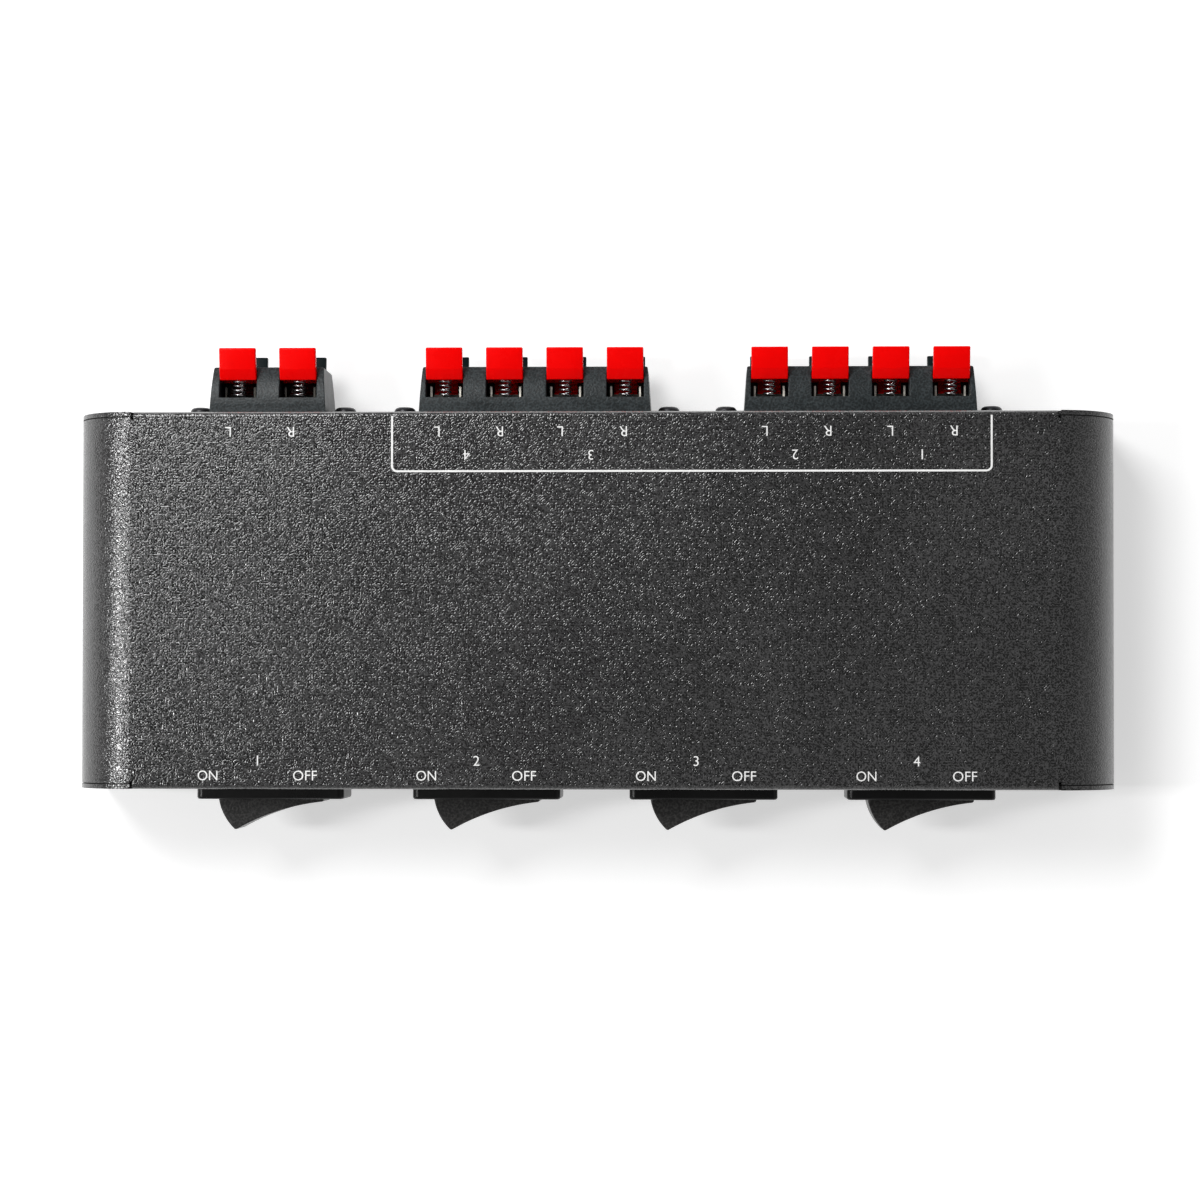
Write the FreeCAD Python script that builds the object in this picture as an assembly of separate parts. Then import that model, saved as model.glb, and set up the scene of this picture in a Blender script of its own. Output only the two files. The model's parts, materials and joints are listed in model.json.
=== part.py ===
import FreeCAD, Part
import math
import os

# A speaker selector switch: a slim folded steel case with four rocker switches in
# front and three blocks of spring terminals behind. Millimetres, +Z up, +X to the
# right seen from the front, the front towards -Y. The origin is the middle of the
# whole object's box, on the surface that the rubber feet stand on.

V = FreeCAD.Vector

# How far joined shapes run into each other, and how far a cutting shape runs past what it cuts
bite = 0.1
past = 1.0

# Case: one folded cover, and a base plate screwed to it from below
case_length = 218.0
case_depth = 78.5
case_height = 30.0
sheet = 0.95
end_radius = 12.8
bend_radius = 1.0
seam_gap = 0.2
relief_width = 0.6
relief_depth = 0.5
base_sheet = 1.0
base_fit = 0.2
base_flange = 8.0
foot_height = 2.2
foot_radius = 5.5
foot_edge = 0.5
foot_from_end = 14.0
foot_from_side = 11.0
ear_width = 12.0
ear_depth = 10.0
ear_from_end = 24.0
case_screw_radius = 1.45
case_screw_length = 6.0
case_screw_head_radius = 2.6
case_screw_head = 1.7
screw_cross = 3.0
screw_slot = 0.8
screw_slot_depth = 0.7
screw_dome = 1.0
hole_clearance = 0.1

# Spring terminals: u is the distance out from the rear panel, w the height above
# the middle of the block. Red levers are above the middle, black ones mirrored below.
terminal_depth_below_top = 15.8
lever_pitch = 12.7
group_columns = (2, 4, 4)
group_places = (-69.15, -12.8, 55.65)
block_base_height = 16.0
block_nose_height = 11.6
block_brow = 2.5
brow_rise = 0.5
block_corner = 0.4
block_reach = 10.4
block_base_side = 5.4
block_nose_side = 4.7
short_block_extra = 0.6
block_back = 3.5
block_back_height = 13.4
cutout_fit = 0.2
flange_sheet = 1.2
flange_ear_radius = 4.2
flange_screw_offset = 9.1
pocket_inner = 3.8
pocket_outer = 9.4
pocket_side_fit = 0.2
web = 0.6
lever_width = 7.5
lever_stem_width = 4.9
lever_inner = 7.4
lever_plate = 1.4
tab_reach = 14.2
tab_top = 8.8
tab_thickness = 1.4
tab_round = 0.3
tab_bend_u = 9.5
tab_bend_drop = 0.6
tab_bend_round = 1.2
tab_inner_round = 0.5
tab_shoulder = 6.5
tab_under_rise = 0.4
tab_under_run = 1.2
head_low = 4.9
pivot_w = 1.6
pivot_radius = 0.75
pivot_fit = 0.05
pivot_end = 0.5
pivot_end_fit = 0.1
hub_radius = 1.1
arm_end = 4.1
arm_low = 1.55
arm_top = 2.3
lip_length = 0.9
lip_slope = 0.4
arm_round = 0.2
arm_root = 0.5
contact_low = 3.05
contact_thickness = 0.4
contact_ear_gap = 0.4
contact_ear_length = 2.6
contact_ear_height = 1.25
contact_bridge = 1.0
tail_width = 3.0
tail_reach = 7.5
slot_fit = 0.05
wire_hole_w = 3.5
wire_hole_radius = 1.1
wire_funnel = 0.5
wire_stop = 1.5
wire_stop_radius = 0.9
wire_stop_w = 2.0
spring_w = 5.4
spring_radius = 1.2
spring_wire = 0.3
spring_seat = 1.25
spring_seat_fit = 0.15
spring_turns = 4
terminal_screw_head_radius = 2.3
terminal_screw_head = 1.2
terminal_screw_radius = 1.45
terminal_screw_length = 5.6
nut_across_flats = 5.5
nut_height = 2.4

# Rocker switches: v is the distance in from the front panel's outer face
rocker_count = 4
rocker_margin = 18.0
rocker_depth_below_top = 13.8
bezel_length = 31.0
bezel_height = 13.9
bezel_reach = 2.3
bezel_corner = 1.3
bezel_edge = 0.5
housing_length = 29.2
housing_height = 12.4
housing_depth = 14.0
housing_fit = 0.15
housing_floor = 2.5
cavity_chamfer = 0.35
latch_width = 5.0
latch_length = 5.0
latch_height = 0.8
latch_round = 0.2
rocker_width = 10.4
rocker_side_fit = 0.25
rocker_radius = 11.25
rocker_end_fit = 0.25
rocker_tilt = 17.8
tip_radius = 0.5
tip_angle = 62.0
back_angle = 105.0
face_out = 4.58
rocker_edge = 0.25
pivot_out = 0.5
trunnion_radius = 1.4
trunnion_fit = 0.05
trunnion_reach = 0.9
trunnion_end_fit = 0.1
pole_pitch = 5.2
boss_radius = 1.9
boss_clearance = 2.2
plunger_radius = 1.25
plunger_fit = 0.05
blade_room = 4.0
plunger_length = 4.4
bore_length = 4.3
plunger_spring_wall = 0.3
blade_gap = 0.1
blade_thickness = 0.5
blade_half_length = 6.8
blade_width = 3.2
blade_ratio = 0.7
button_radius = 1.1
button_height = 0.5
button_from_end = 1.1
fulcrum_radius = 0.4
fulcrum_gap = 0.05
side_contact_gap = 0.1
tab_strip_width = 3.2
tab_strip = 0.8
tab_inner_width = 2.4
tab_strip_reach = 4.5

# Wiring boards on the backs of the terminals and of the switches, and their link
board = 1.6
rear_board_height = 18.0
rear_board_margin = 4.6
front_board_height = 14.0
front_board_margin = 10.0
board_hole_clearance = 0.5
solder_spread = 1.5
solder_height = 1.1
solder_lean = 1.2
front_solder_radius = 1.9
link_count = 10
link_pitch = 2.54
link_radius = 0.7
link_lead = 12.0
link_rear_drop = 7.6
link_sag = 2.5
link_sag_change = 0.8
link_bend_share = 0.45

# Places worked out from the sizes above
base_z = foot_height
top_z = base_z + case_height
terminal_z = top_z - terminal_depth_below_top
rocker_z = top_z - rocker_depth_below_top
tip_hub = rocker_radius - tip_radius
front_reach = pivot_out + tip_hub * math.cos(math.radians(tip_angle - rocker_tilt)) + tip_radius
case_y = (front_reach - tab_reach) / 2
front_y = case_y - case_depth / 2
rear_y = case_y + case_depth / 2
rocker_pitch = (case_length - 2 * rocker_margin) / rocker_count
rocker_places = [(n - (rocker_count - 1) / 2) * rocker_pitch for n in range(rocker_count)]
cavity_depth = housing_depth - housing_floor
plunger_tip = cavity_depth + pivot_out - blade_room
boss_end = plunger_tip - boss_clearance
blade_axis = plunger_tip + blade_gap + blade_thickness / 2
fulcrum_axis = blade_axis + blade_thickness / 2 + fulcrum_gap + fulcrum_radius
pivot_u = lever_inner + lever_plate / 2
arm_lip = contact_low - slot_fit


def box(x0, x1, y0, y1, z0, z1):
    return Part.makeBox(x1 - x0, y1 - y0, z1 - z0, V(x0, y0, z0))


def rod(radius, start, end):
    """A round rod between two points."""
    axis = V(*end) - V(*start)
    return Part.makeCylinder(radius, axis.Length, V(*start), axis)


def rounded_face(corners, place):
    """A flat face from (a, b, radius) corners, rounded by their radii. place(a, b) is a point in space."""
    starts, mids, ends = [], [], []
    for n, (a, b, radius) in enumerate(corners):
        before, after = corners[n - 1], corners[(n + 1) % len(corners)]
        corner = V(a, b, 0)
        back = (V(before[0], before[1], 0) - corner).normalize()
        on = (V(after[0], after[1], 0) - corner).normalize()
        half = back.getAngle(on) / 2
        reach = radius / math.tan(half)
        middle = corner + (back + on).normalize() * (radius / math.sin(half))
        starts.append(corner + back * reach)
        mids.append(middle + (corner - middle).normalize() * radius if radius else corner)
        ends.append(corner + on * reach)
    edges = []
    for n, (a, b, radius) in enumerate(corners):
        if radius:
            arc = [place(p.x, p.y) for p in (starts[n], mids[n], ends[n])]
            edges.append(Part.Arc(*arc).toShape())
        p, q = ends[n], starts[(n + 1) % len(corners)]
        if p.distanceToPoint(q) > 1e-6:
            edges.append(Part.LineSegment(place(p.x, p.y), place(q.x, q.y)).toShape())
    return Part.Face(Part.Wire(edges))


def side_prism(corners, width, x=0.0):
    """A profile drawn in (y, z), as wide as width along X and centred on x."""
    return rounded_face(corners, lambda a, b: V(x - width / 2, a, b)).extrude(V(width, 0, 0))


def plan_prism(corners, z0, z1):
    """A profile drawn in (x, y), from z0 up to z1."""
    return rounded_face(corners, lambda a, b: V(a, b, z0)).extrude(V(0, 0, z1 - z0))


def fuse(shapes):
    return shapes[0].multiFuse(shapes[1:]).removeSplitter()


def save(node, solids):
    """Writes one sub-part. Several solids under one name are a group of like pieces."""
    for solid in solids:
        if not solid.isValid() or len(solid.Solids) != 1:
            raise ValueError(f"{node} holds a piece that isn't one sound solid")
    shape = solids[0].Solids[0] if len(solids) == 1 else Part.makeCompound([s.Solids[0] for s in solids])
    shape.exportStep(os.path.join("parts", node + ".step"))
    print(f"{node}: {len(solids)} solids, {sum(s.Volume for s in solids):.2f} mm3")


def pan_screw(head_radius, head_height, radius, length):
    """A pan-head screw along +Z: its head is above z = 0, with a cross recess, and its thread below."""
    head = Part.makeCylinder(head_radius, head_height)
    rim = [e for e in head.Edges if abs(e.BoundBox.ZMin - head_height) < 1e-6 and e.BoundBox.ZLength < 1e-6]
    head = head.makeFillet(screw_dome, rim)
    low = head_height - screw_slot_depth
    half, across = screw_slot / 2, screw_cross / 2
    cross = box(-across, across, -half, half, low, head_height + past)
    cross = cross.fuse(box(-half, half, -across, across, low, head_height + past))
    return fuse([head.cut(cross), rod(radius, (0, 0, -length), (0, 0, bite))])


def arch(inset, low, y0, y1):
    """The case's outline seen from the front, drawn in by inset: upright sides and rolled upper corners."""
    half = case_length / 2 - inset
    high = top_z - inset
    roll = end_radius - inset
    corners = [(-half, low, 0), (-half, high, roll), (half, high, roll), (half, low, 0)]
    return rounded_face(corners, lambda a, b: V(a, y0, b)).extrude(V(0, y1 - y0, 0))


def ear_places():
    x = case_length / 2 - ear_from_end
    y = case_depth / 2 - sheet - ear_depth / 2
    return [(sx * x, case_y + sy * y) for sx in (-1, 1) for sy in (-1, 1)]


def top_cover():
    """One folded sheet: flat top, rolled ends, and front and rear panels bent down from the top."""
    flat = case_length / 2 - end_radius
    far = case_length
    rolled_front, rolled_rear = front_y + sheet + seam_gap, rear_y - sheet - seam_gap
    rolled = arch(0, base_z, rolled_front, rolled_rear)
    rolled = rolled.cut(arch(sheet, base_z - past, rolled_front, rolled_rear))
    panels = [arch(0, base_z, front_y, front_y + sheet), arch(0, base_z, rear_y - sheet, rear_y)]
    middle = box(-flat, flat, front_y - past, rear_y + past, base_z - past, top_z + past)
    ends = [shape.cut(middle) for shape in [rolled] + panels]
    bent = side_prism(
        [
            (front_y, base_z, 0),
            (front_y, top_z, bend_radius),
            (rear_y, top_z, bend_radius),
            (rear_y, base_z, 0),
        ],
        2 * flat,
    )
    bent = bent.cut(box(-far, far, front_y + sheet, rear_y - sheet, base_z - past, top_z - sheet))
    pieces = [bent] + [solid for shape in ends for solid in shape.Solids]
    for x, y in ear_places():
        toward = -1 if y < case_y else 1
        y0 = y - ear_depth / 2 if toward > 0 else y - ear_depth / 2 - sheet / 2
        y1 = y + ear_depth / 2 + sheet / 2 if toward > 0 else y + ear_depth / 2
        low = base_z + base_sheet
        pieces.append(box(x - ear_width / 2, x + ear_width / 2, y0, y1, low, low + sheet))
    cover = fuse(pieces)
    cuts = []
    deep = sheet + seam_gap + relief_depth
    for sx in (-1, 1):
        x0, x1 = sx * flat - relief_width / 2, sx * flat + relief_width / 2
        cuts.append(box(x0, x1, front_y - past, front_y + deep, top_z - deep, top_z + past))
        cuts.append(box(x0, x1, rear_y - deep, rear_y + past, top_z - deep, top_z + past))
    for x, y in ear_places():
        cuts.append(rod(case_screw_radius + hole_clearance / 2, (x, y, base_z), (x, y, base_z + 3 * sheet)))
    length = housing_length / 2 + housing_fit
    height = housing_height / 2 + housing_fit
    for x in rocker_places:
        low, high = rocker_z - height, rocker_z + height
        cuts.append(box(x - length, x + length, front_y - past, front_y + sheet + past, low, high))
    for place, columns in zip(group_places, group_columns):
        half = back_half_width(columns) + cutout_fit
        high = block_back_height / 2 + cutout_fit
        y0, y1 = rear_y - sheet - past, rear_y + past
        cuts.append(box(place - half, place + half, y0, y1, terminal_z - high, terminal_z + high))
        for x in screw_places(place, columns):
            radius = terminal_screw_radius + hole_clearance
            cuts.append(rod(radius, (x, y0, terminal_z), (x, y1, terminal_z)))
    return cover.cut(Part.makeCompound(cuts))


def base_plate():
    """A flat sheet with its two ends turned up inside the rolled ends of the cover."""
    half = case_length / 2 - sheet - base_fit
    y0, y1 = front_y + sheet + base_fit, rear_y - sheet - base_fit
    low, high = base_z, base_z + base_sheet
    profile = [(-half, low, bend_radius), (-half, high + base_flange, 0)]
    profile += [(-half + base_sheet, high + base_flange, 0), (-half + base_sheet, high, 0)]
    profile += [(half - base_sheet, high, 0), (half - base_sheet, high + base_flange, 0)]
    profile += [(half, high + base_flange, 0), (half, low, bend_radius)]
    plate = rounded_face(profile, lambda a, b: V(a, y0, b)).extrude(V(0, y1 - y0, 0))
    radius = case_screw_radius + hole_clearance
    holes = [rod(radius, (x, y, low - past), (x, y, high + past)) for x, y in ear_places()]
    return plate.cut(Part.makeCompound(holes))


def rubber_feet():
    x = case_length / 2 - foot_from_end
    y = case_depth / 2 - foot_from_side
    feet = []
    for sx in (-1, 1):
        for sy in (-1, 1):
            foot = Part.makeCylinder(foot_radius, foot_height)
            rim = [e for e in foot.Edges if e.BoundBox.ZMax < 1e-6]
            foot = foot.makeFillet(foot_edge, rim)
            feet.append(foot.translated(V(sx * x, case_y + sy * y, 0)))
    return feet


def case_screws():
    """Pan-head screws from below, through the base plate into the ears of the cover."""
    screws = []
    for x, y in ear_places():
        screw = pan_screw(case_screw_head_radius, case_screw_head, case_screw_radius, case_screw_length)
        screw.rotate(V(0, 0, 0), V(1, 0, 0), 180)
        screws.append(screw.translated(V(x, y, base_z)))
    return screws


def screw_places(place, columns):
    """The two flange screws of a terminal block, either side of its levers."""
    reach = (columns - 1) * lever_pitch / 2 + flange_screw_offset
    return [place - reach, place + reach]


def lever_places(place, columns):
    return [place + (n - (columns - 1) / 2) * lever_pitch for n in range(columns)]


def back_half_width(columns):
    """Half the width of the part of a terminal block that goes in through the panel."""
    return (columns - 1) * lever_pitch / 2 + block_nose_side


def terminal_block(columns):
    """A moulded block with a pocket, a wire hole and a spring seat for each lever, in (x, u, w)."""
    spread = (columns - 1) * lever_pitch / 2
    side = spread + (short_block_extra if columns == min(group_columns) else 0)
    base, nose = block_base_height / 2, block_nose_height / 2
    chord = V(0, block_reach - block_brow, nose - base).normalize()
    bulge = V(0, (block_brow + block_reach) / 2, (base + nose) / 2) + V(0, -chord.z, chord.y) * brow_rise
    wide = 2 * (side + block_base_side)
    edges = []
    for s in (1, -1):
        start, end = V(-wide / 2, block_brow, s * base), V(-wide / 2, block_reach, s * nose)
        edges.append(Part.Arc(start, V(-wide / 2, bulge.y, s * bulge.z), end).toShape())
        edges.append(Part.LineSegment(V(-wide / 2, 0, s * base), start).toShape())
    edges.append(Part.LineSegment(V(-wide / 2, 0, -base), V(-wide / 2, 0, base)).toShape())
    low, high = V(-wide / 2, block_reach, -nose), V(-wide / 2, block_reach, nose)
    edges.append(Part.LineSegment(low, high).toShape())
    block = Part.Face(Part.Wire(Part.__sortEdges__(edges))).extrude(V(wide, 0, 0))
    plan = [(-side - block_base_side, 0, 0), (-side - block_nose_side, block_reach, block_corner)]
    plan += [(side + block_nose_side, block_reach, block_corner), (side + block_base_side, 0, 0)]
    block = block.common(plan_prism(plan, -block_base_height, block_base_height))
    back = back_half_width(columns)
    ears = spread + flange_screw_offset
    high = block_back_height / 2
    block = fuse(
        [
            block,
            box(-back, back, -block_back, bite, -high, high),
            box(-ears, ears, 0, flange_sheet, -flange_ear_radius, flange_ear_radius),
            rod(flange_ear_radius, (-ears, 0, 0), (-ears, flange_sheet, 0)),
            rod(flange_ear_radius, (ears, 0, 0), (ears, flange_sheet, 0)),
        ]
    )
    cuts = []
    for x in (-ears, ears):
        cuts.append(rod(terminal_screw_radius + hole_clearance, (x, -past, 0), (x, flange_sheet + past, 0)))
    for x in lever_places(0, columns):
        for s in (1, -1):
            cuts += [cut.translated(V(x, 0, 0)) for cut in pocket_cuts(s)]
    return block.cut(Part.makeCompound(cuts))


def pocket_cuts(s):
    """What one lever's place takes out of the block. s is 1 above the middle and -1 below."""

    def span(a, b):
        return sorted((s * a, s * b))

    half = lever_width / 2 + pocket_side_fit
    pocket = box(-half, half, pocket_inner, pocket_outer, *span(web / 2, block_base_height))
    slot = tail_width / 2 + slot_fit
    tail = box(
        -slot, slot, -block_back - past, pocket_inner + bite,
        *span(contact_low - slot_fit, contact_low + contact_thickness + slot_fit),
    )
    socket = half + pivot_end + pivot_end_fit
    w = s * pivot_w
    holes = [rod(pivot_radius + pivot_fit, (-socket, pivot_u, w), (socket, pivot_u, w))]
    w = s * spring_w
    seat = spring_radius + spring_wire / 2 + spring_seat_fit
    holes.append(rod(seat, (0, pocket_inner - spring_seat, w), (0, pocket_inner + bite, w)))
    w = s * wire_stop_w
    holes.append(rod(wire_stop_radius, (0, pocket_inner - wire_stop, w), (0, pocket_inner + bite, w)))
    w = s * wire_hole_w
    holes.append(rod(wire_hole_radius, (0, pocket_outer - bite, w), (0, block_reach + past, w)))
    funnel = Part.makeCone(
        wire_hole_radius, wire_hole_radius + wire_funnel, wire_funnel,
        V(0, block_reach - wire_funnel, w), V(0, 1, 0),
    )
    return [pocket, tail, funnel] + holes


def lever():
    """A red lever in (x, u, w): thumb tab, stem with a wire window, trunnions, and a clamping arm."""
    outer = lever_inner + lever_plate
    bend_w = tab_top - tab_bend_drop
    under = tab_shoulder + tab_under_rise
    head = [(lever_inner, head_low, 0), (lever_inner, tab_shoulder, tab_inner_round)]
    head += [(tab_bend_u, bend_w, tab_bend_round)]
    head += [(tab_reach, tab_top, tab_round), (tab_reach, tab_top - tab_thickness, tab_round)]
    head += [(outer + tab_under_run, under, tab_inner_round), (outer, tab_shoulder, tab_round)]
    head += [(outer, head_low, 0)]
    stem = [(lever_inner, pivot_w, 0), (lever_inner, head_low + bite, 0)]
    stem += [(outer, head_low + bite, 0), (outer, pivot_w, 0)]
    lip_end = arm_end + lip_length
    arm = [(arm_end, arm_low, arm_round), (arm_end, arm_lip, arm_round), (lip_end, arm_lip, arm_round)]
    arm += [(lip_end + lip_slope, arm_top, 0), (pivot_u, arm_top, 0), (pivot_u, pivot_w - arm_root, 0)]
    half = lever_stem_width / 2
    reach = lever_width / 2 + pocket_side_fit + pivot_end
    shape = fuse(
        [
            side_prism(head, lever_width),
            side_prism(stem, lever_stem_width),
            side_prism(arm, lever_stem_width),
            rod(hub_radius, (-half, pivot_u, pivot_w), (half, pivot_u, pivot_w)),
            rod(pivot_radius, (-reach, pivot_u, pivot_w), (reach, pivot_u, pivot_w)),
        ]
    )
    window = rod(wire_hole_radius, (0, lever_inner - past, wire_hole_w), (0, outer + past, wire_hole_w))
    return shape.cut(window)


def contact():
    """A plated contact in (x, u, w): a bridge over the lever's lip, two ears beside it, and a solder tail."""
    inner = lever_stem_width / 2 + contact_ear_gap
    outer = inner + contact_thickness
    low, high = contact_low, contact_low + contact_thickness
    top = contact_low + contact_ear_height
    ear = pocket_inner + contact_ear_length
    pieces = [
        box(-outer, outer, pocket_inner, pocket_inner + contact_bridge, low, high),
        box(-outer, -inner, pocket_inner, ear, low, top),
        box(inner, outer, pocket_inner, ear, low, top),
        box(-tail_width / 2, tail_width / 2, -tail_reach, pocket_inner + bite, low, high),
    ]
    return fuse(pieces)


def biarc(p0, t0, p1, t1):
    """Two arcs that leave p0 along t0, meet smoothly, and reach p1 along t1."""
    across = p1 - p0
    a = 2 * (t0.dot(t1) - 1)
    b = -2 * across.dot(t0 + t1)
    d = (-b - math.sqrt(b * b - 4 * a * across.dot(across))) / (2 * a)
    q0, q1 = p0 + t0 * d, p1 - t1 * d
    joint = (q0 + q1) * 0.5
    edges = []
    for start, bend, end in ((p0, q0, joint), (joint, q1, p1)):
        middle = (start + end) * 0.5
        half = (end - start).Length / 2
        rise = half * math.tan(math.acos(half / d) / 2)
        top = middle + (bend - middle).normalize() * rise
        edges.append(Part.Arc(start, top, end).toShape())
    return edges


def spring():
    """One unbroken coil along u, from its seat in the block to the lever's inner face."""
    start = pocket_inner - spring_seat + spring_wire / 2
    end = lever_inner - spring_wire / 2 - slot_fit
    pitch = (end - start) / spring_turns
    quarters = 4 * spring_turns
    points, tangents = [], []
    for n in range(quarters + 1):
        turn = math.radians(90 * n)
        x, w = spring_radius * math.cos(turn), spring_radius * math.sin(turn)
        points.append(V(x, start + pitch * n / 4, spring_w + w))
        tangents.append(V(-w, pitch / (2 * math.pi), x).normalize())
    edges = []
    for n in range(quarters):
        edges += biarc(points[n], tangents[n], points[n + 1], tangents[n + 1])
    path = Part.Wire(edges)
    ring = Part.makeCircle(spring_wire / 2, points[0], tangents[0])
    return path.makePipeShell([Part.Wire(ring)], True, False), least_gap(path, pitch)


def least_gap(path, pitch):
    """The least space between one curl and the next, measured on points of the coil."""
    points = [p for edge in path.Edges for p in edge.discretize(8)]
    per_turn = len(points) // spring_turns
    near = [
        p.distanceToPoint(q)
        for n, p in enumerate(points)
        for q in points[n + per_turn // 2 :: 2]
    ]
    return min(near) - spring_wire


def mirrored(shape):
    """The same piece below the middle of the block."""
    return shape.mirror(V(0, 0, 0), V(0, 0, 1))


def at_terminal(shape, x):
    return shape.translated(V(x, rear_y, terminal_z))


def terminal_screws():
    screws, nuts = [], []
    for place, columns in zip(group_places, group_columns):
        for x in screw_places(place, columns):
            screw = pan_screw(
                terminal_screw_head_radius, terminal_screw_head,
                terminal_screw_radius, terminal_screw_length,
            )
            screw.rotate(V(0, 0, 0), V(1, 0, 0), -90)
            screws.append(screw.translated(V(x, rear_y + flange_sheet, terminal_z)))
            nuts.append(hex_nut().translated(V(x, rear_y - sheet, terminal_z)))
    return screws, nuts


def hex_nut():
    """A nut along -Y from y = 0."""
    corner = nut_across_flats / 2 / math.cos(math.radians(30))
    turns = [math.radians(60 * n) for n in range(6)]
    ring = [(corner * math.cos(turn), corner * math.sin(turn), 0) for turn in turns]
    nut = rounded_face(ring, lambda a, b: V(a, -nut_height, b)).extrude(V(0, nut_height, 0))
    return nut.cut(rod(terminal_screw_radius + slot_fit, (0, -nut_height - past, 0), (0, past, 0)))


def switch_housing():
    """Bezel and body of one rocker switch, about the middle of its bezel's back face, in (x, v, z)."""
    half_x, half_z = bezel_length / 2, bezel_height / 2
    corners = [(sx * half_x, sz * half_z, bezel_corner) for sx, sz in ((-1, -1), (1, -1), (1, 1), (-1, 1))]
    bezel = rounded_face(corners, lambda a, b: V(a, -bezel_reach, b)).extrude(V(0, bezel_reach, 0))
    rim = [e for e in bezel.Edges if e.BoundBox.YMax < -bezel_reach + 1e-6]
    bezel = bezel.makeFillet(bezel_edge, rim)
    body_x, body_z = housing_length / 2, housing_height / 2
    body = box(-body_x, body_x, -bite, housing_depth, -body_z, body_z)
    pieces = [bezel, body]
    start = sheet + housing_fit
    for s in (-1, 1):
        latch = [(s * (body_x - bite), start, 0), (s * (body_x + latch_height), start, latch_round)]
        latch += [(s * (body_x - bite), start + latch_length, 0)]
        pieces.append(plan_prism(latch, -latch_width / 2, latch_width / 2))
    housing = fuse(pieces)
    cavity_x = rocker_radius + rocker_end_fit
    cavity_z = rocker_width / 2 + rocker_side_fit
    cavity = box(-cavity_x, cavity_x, -bezel_reach - past, cavity_depth, -cavity_z, cavity_z)
    flare = cavity_chamfer
    mouth_x, mouth_z = cavity_x + flare, cavity_z + flare
    rings = []
    for x, z, v in ((mouth_x, mouth_z, -bezel_reach), (cavity_x, cavity_z, flare - bezel_reach)):
        corners = [V(-x, v, -z), V(x, v, -z), V(x, v, z), V(-x, v, z), V(-x, v, -z)]
        rings.append(Part.makePolygon(corners))
    cuts = [cavity, Part.makeLoft(rings, True, True)]
    hole = rocker_width / 2 + trunnion_reach + trunnion_end_fit
    cuts.append(rod(trunnion_radius + trunnion_fit, (0, -pivot_out, -hole), (0, -pivot_out, hole)))
    for x, z, _ in tab_places():
        across, thick = tab_strip_width / 2 + slot_fit, tab_strip / 2 + slot_fit
        v0, v1 = cavity_depth - past, housing_depth + past
        cuts.append(box(x - across, x + across, v0, v1, z - thick, z + thick))
    return housing.cut(Part.makeCompound(cuts))


def tab_places():
    """The six tabs of a two-pole changeover switch: (x, z, is it a common in the middle)."""
    side = blade_half_length - button_from_end
    return [(x, z, x == 0) for z in (-pole_pitch / 2, pole_pitch / 2) for x in (-side, 0, side)]


def switch_tabs():
    """The tabs of one switch: commons with a fulcrum under the blade, and a flat contact either side."""
    tilt = math.radians(rocker_tilt * blade_ratio)
    level = fulcrum_axis - (fulcrum_axis - blade_axis) * math.cos(tilt)
    side_top = level + blade_half_length * math.sin(tilt)
    side_top += (blade_thickness / 2 + button_height) * math.cos(tilt) + side_contact_gap - pivot_out
    fulcrum = fulcrum_axis - pivot_out
    tabs = []
    for x, z, common in tab_places():
        half, inner = tab_strip_width / 2, tab_inner_width / 2
        far = housing_depth + tab_strip_reach
        strip = box(x - half, x + half, cavity_depth, far, z - tab_strip / 2, z + tab_strip / 2)
        if common:
            r = fulcrum_radius
            post = box(x - r, x + r, fulcrum, cavity_depth, z - inner, z + inner)
            tabs.append(fuse([strip, post, rod(r, (x, fulcrum, z - inner), (x, fulcrum, z + inner))]))
        else:
            post = box(x - half, x + half, side_top, cavity_depth, z - inner, z + inner)
            tabs.append(fuse([strip, post]))
    return tabs


def rocker():
    """One rocker about its pivot, upright: concave face, round ends, trunnions and two plunger bosses."""
    a, b = math.radians(tip_angle), math.radians(back_angle)
    tip = V(tip_hub * math.sin(a), -tip_hub * math.cos(a), 0)
    low = face_out - tip_radius
    face_centre = V(0, -(tip_hub**2 - low**2) / (2 * (tip_hub * math.cos(a) - low)), 0)
    to_face = (face_centre - tip).normalize()
    radial = V(math.sin(a), -math.cos(a), 0)
    touch = tip + to_face * tip_radius
    round_tip = tip + (to_face + radial).normalize() * tip_radius
    end = radial * rocker_radius
    middle = V(math.sin((a + b) / 2), -math.cos((a + b) / 2), 0) * rocker_radius
    back = V(math.sin(b), -math.cos(b), 0) * rocker_radius

    def left(p):
        return V(-p.x, p.y, 0)

    edges = [
        Part.Arc(left(touch), V(0, -face_out, 0), touch),
        Part.Arc(touch, round_tip, end),
        Part.Arc(end, middle, back),
        Part.LineSegment(back, left(back)),
        Part.Arc(left(back), left(middle), left(end)),
        Part.Arc(left(end), left(round_tip), left(touch)),
    ]
    profile = Part.Face(Part.Wire([e.toShape() for e in edges]))
    half = rocker_width / 2
    body = profile.translated(V(0, 0, -half)).extrude(V(0, 0, rocker_width))
    rims = [
        e for e in body.Edges
        if e.BoundBox.ZLength < 1e-6 and e.BoundBox.YMin < back.y - bite
    ]
    body = body.makeFillet(rocker_edge, rims)
    reach = half + trunnion_reach
    pieces = [body, rod(trunnion_radius, (0, 0, -reach), (0, 0, reach))]
    for z in (-pole_pitch / 2, pole_pitch / 2):
        pieces.append(rod(boss_radius, (0, back.y - past, z), (0, boss_end, z)))
    solid = fuse(pieces)
    for z in (-pole_pitch / 2, pole_pitch / 2):
        bore = plunger_radius + plunger_fit
        solid = solid.cut(rod(bore, (0, boss_end - bore_length, z), (0, boss_end + past, z)))
    return solid


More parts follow.
